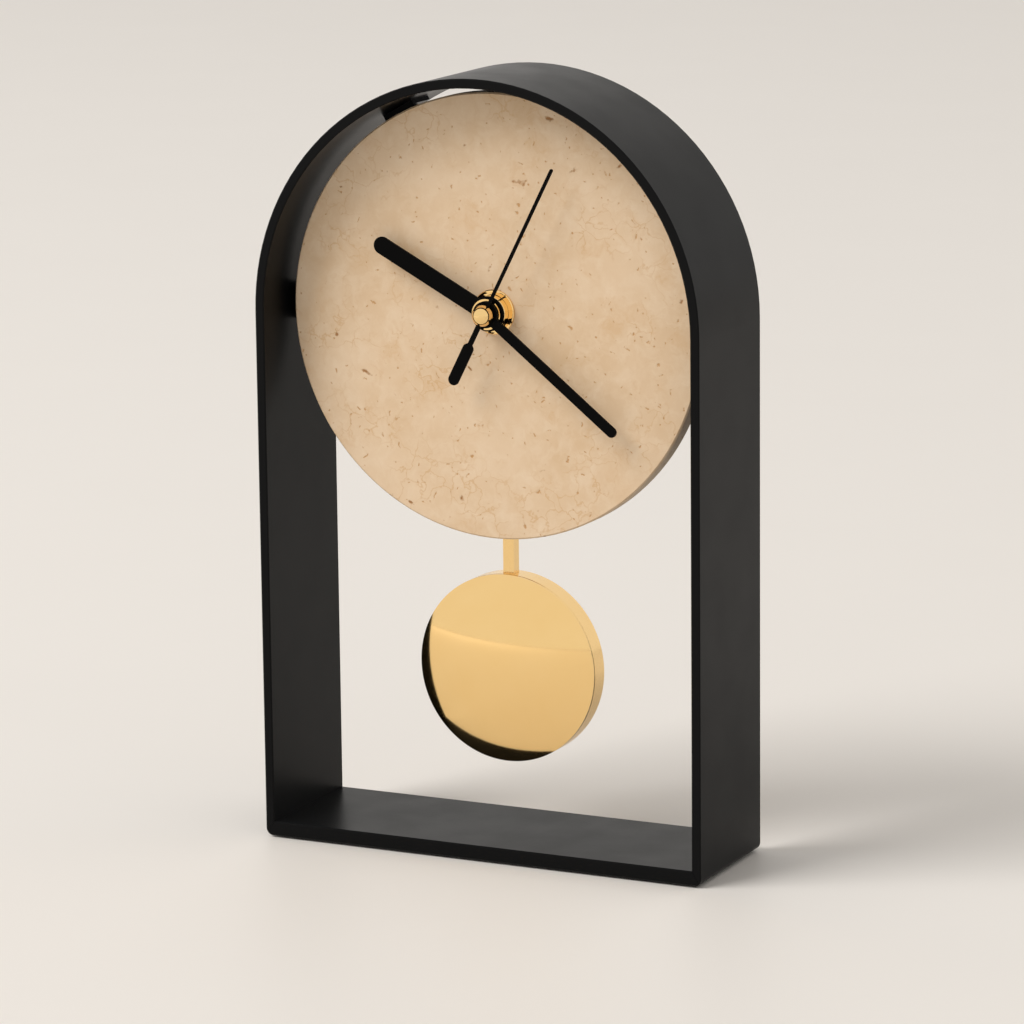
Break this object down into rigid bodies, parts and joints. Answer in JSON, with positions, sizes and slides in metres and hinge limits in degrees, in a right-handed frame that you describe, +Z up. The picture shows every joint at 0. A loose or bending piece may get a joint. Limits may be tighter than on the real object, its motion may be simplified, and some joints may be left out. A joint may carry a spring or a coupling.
{
  "type": "desk pendulum clock",
  "caption": "Desk clock: an arched black metal frame holds a round stone dial with plain hands, and a polished brass pendulum bob swings below it.",
  "frame": {"origin": "middle of the footprint, on the surface that the clock stands on", "axes": "+X to the right seen from the front, +Y to the back, +Z up"},
  "size_m": [0.16, 0.05, 0.26],
  "materials": {
    "frame_black": "satin black powder coat with a fine grain",
    "pad_felt": "thin black foam rubber",
    "dial_stone": "honed beige travertine with ochre pits and hairline veins",
    "polished_brass": "polished brass",
    "brushed_brass": "lightly brushed brass",
    "hand_black": "matt black lacquer",
    "zinc_steel": "zinc plated steel",
    "case_black": "fine moulded black plastic",
    "gear_white": "natural acetal",
    "gasket_rubber": "matt black rubber",
    "battery_skin": "plain printed sleeve without words",
    "contact_nickel": "nickel plated strip",
    "board_green": "solder-masked board",
    "coil_copper": "enamelled copper winding",
    "magnet_grey": "sintered magnet",
    "weight_iron": "raw cast iron"
  },
  "bodies": {
    "frame": {"arch_band": "frame_black", "base_plate": "frame_black", "base_pads": "pad_felt", "stone_dial": "dial_stone", "dial_inserts": "polished_brass", "dial_brackets": "zinc_steel", "bracket_screws": "zinc_steel", "weld_studs": "zinc_steel", "stud_nuts": "zinc_steel", "movement_gasket": "gasket_rubber", "centre_bushing": "polished_brass", "dial_washer": "polished_brass", "dial_nut": "polished_brass", "front_case": "case_black", "rear_case": "case_black", "battery": "battery_skin", "positive_contact": "contact_nickel", "negative_contact": "contact_nickel", "circuit_board": "board_green", "quartz_crystal": "contact_nickel", "motor_stator": "zinc_steel", "motor_core": "zinc_steel", "motor_coil": "coil_copper", "drive_coil": "coil_copper", "pivot_pin": "zinc_steel"},
    "rotor": {"motor_rotor": "magnet_grey"},
    "step": {"step_wheel": "gear_white"},
    "second": {"second_wheel": "gear_white", "second_hand": "hand_black", "hand_cap": "polished_brass"},
    "third": {"third_wheel": "gear_white"},
    "minute": {"centre_wheel": "gear_white", "minute_pipe": "polished_brass", "minute_collet": "polished_brass", "minute_hand": "hand_black"},
    "motion": {"motion_wheel": "gear_white", "setting_knob": "case_black"},
    "hour": {"hour_wheel": "gear_white", "hour_hand": "hand_black"},
    "pendulum": {"pendulum_arm": "case_black", "hook_pin": "zinc_steel", "arm_magnet": "magnet_grey", "pendulum_rod": "brushed_brass", "bob_band": "brushed_brass", "bob_weight": "weight_iron", "rod_screws": "zinc_steel", "bob_back": "brushed_brass", "bob_face": "polished_brass"}
  },
  "joints": [
    {"name": "second_hand", "type": "hinge", "parent": "frame", "child": "second", "pos_m": [0, 0, 0.182], "axis": [0, 1, 0], "continuous": true},
    {"name": "step_wheel", "type": "hinge", "parent": "frame", "child": "step", "pos_m": [0.00689, 0, 0.18779], "axis": [0, 1, 0], "continuous": true},
    {"name": "motor_rotor", "type": "hinge", "parent": "frame", "child": "rotor", "pos_m": [0.01347, 0, 0.18539], "axis": [0, 1, 0], "continuous": true},
    {"name": "third_wheel", "type": "hinge", "parent": "frame", "child": "third", "pos_m": [-0.00846, 0, 0.17892], "axis": [0, 1, 0], "continuous": true},
    {"name": "minute_hand", "type": "hinge", "parent": "frame", "child": "minute", "pos_m": [0, 0, 0.182], "axis": [0, 1, 0], "continuous": true},
    {"name": "setting_knob", "type": "hinge", "parent": "frame", "child": "motion", "pos_m": [0.0048, 0, 0.17369], "axis": [0, 1, 0], "continuous": true},
    {"name": "hour_hand", "type": "hinge", "parent": "frame", "child": "hour", "pos_m": [0, 0, 0.182], "axis": [0, 1, 0], "continuous": true},
    {"name": "pendulum_swing", "type": "hinge", "parent": "frame", "child": "pendulum", "pos_m": [0, 0.003, 0.16], "axis": [0, 1, 0], "range_deg": [-8, 8]}
  ],
  "couplings": [
    {"joint": "step_wheel", "follows": "second_hand", "ratio": -5},
    {"joint": "motor_rotor", "follows": "second_hand", "ratio": 30},
    {"joint": "third_wheel", "follows": "second_hand", "ratio": -0.125},
    {"joint": "minute_hand", "follows": "second_hand", "ratio": 0.016667},
    {"joint": "setting_knob", "follows": "second_hand", "ratio": -0.0055556},
    {"joint": "hour_hand", "follows": "second_hand", "ratio": 0.0013889}
  ]
}
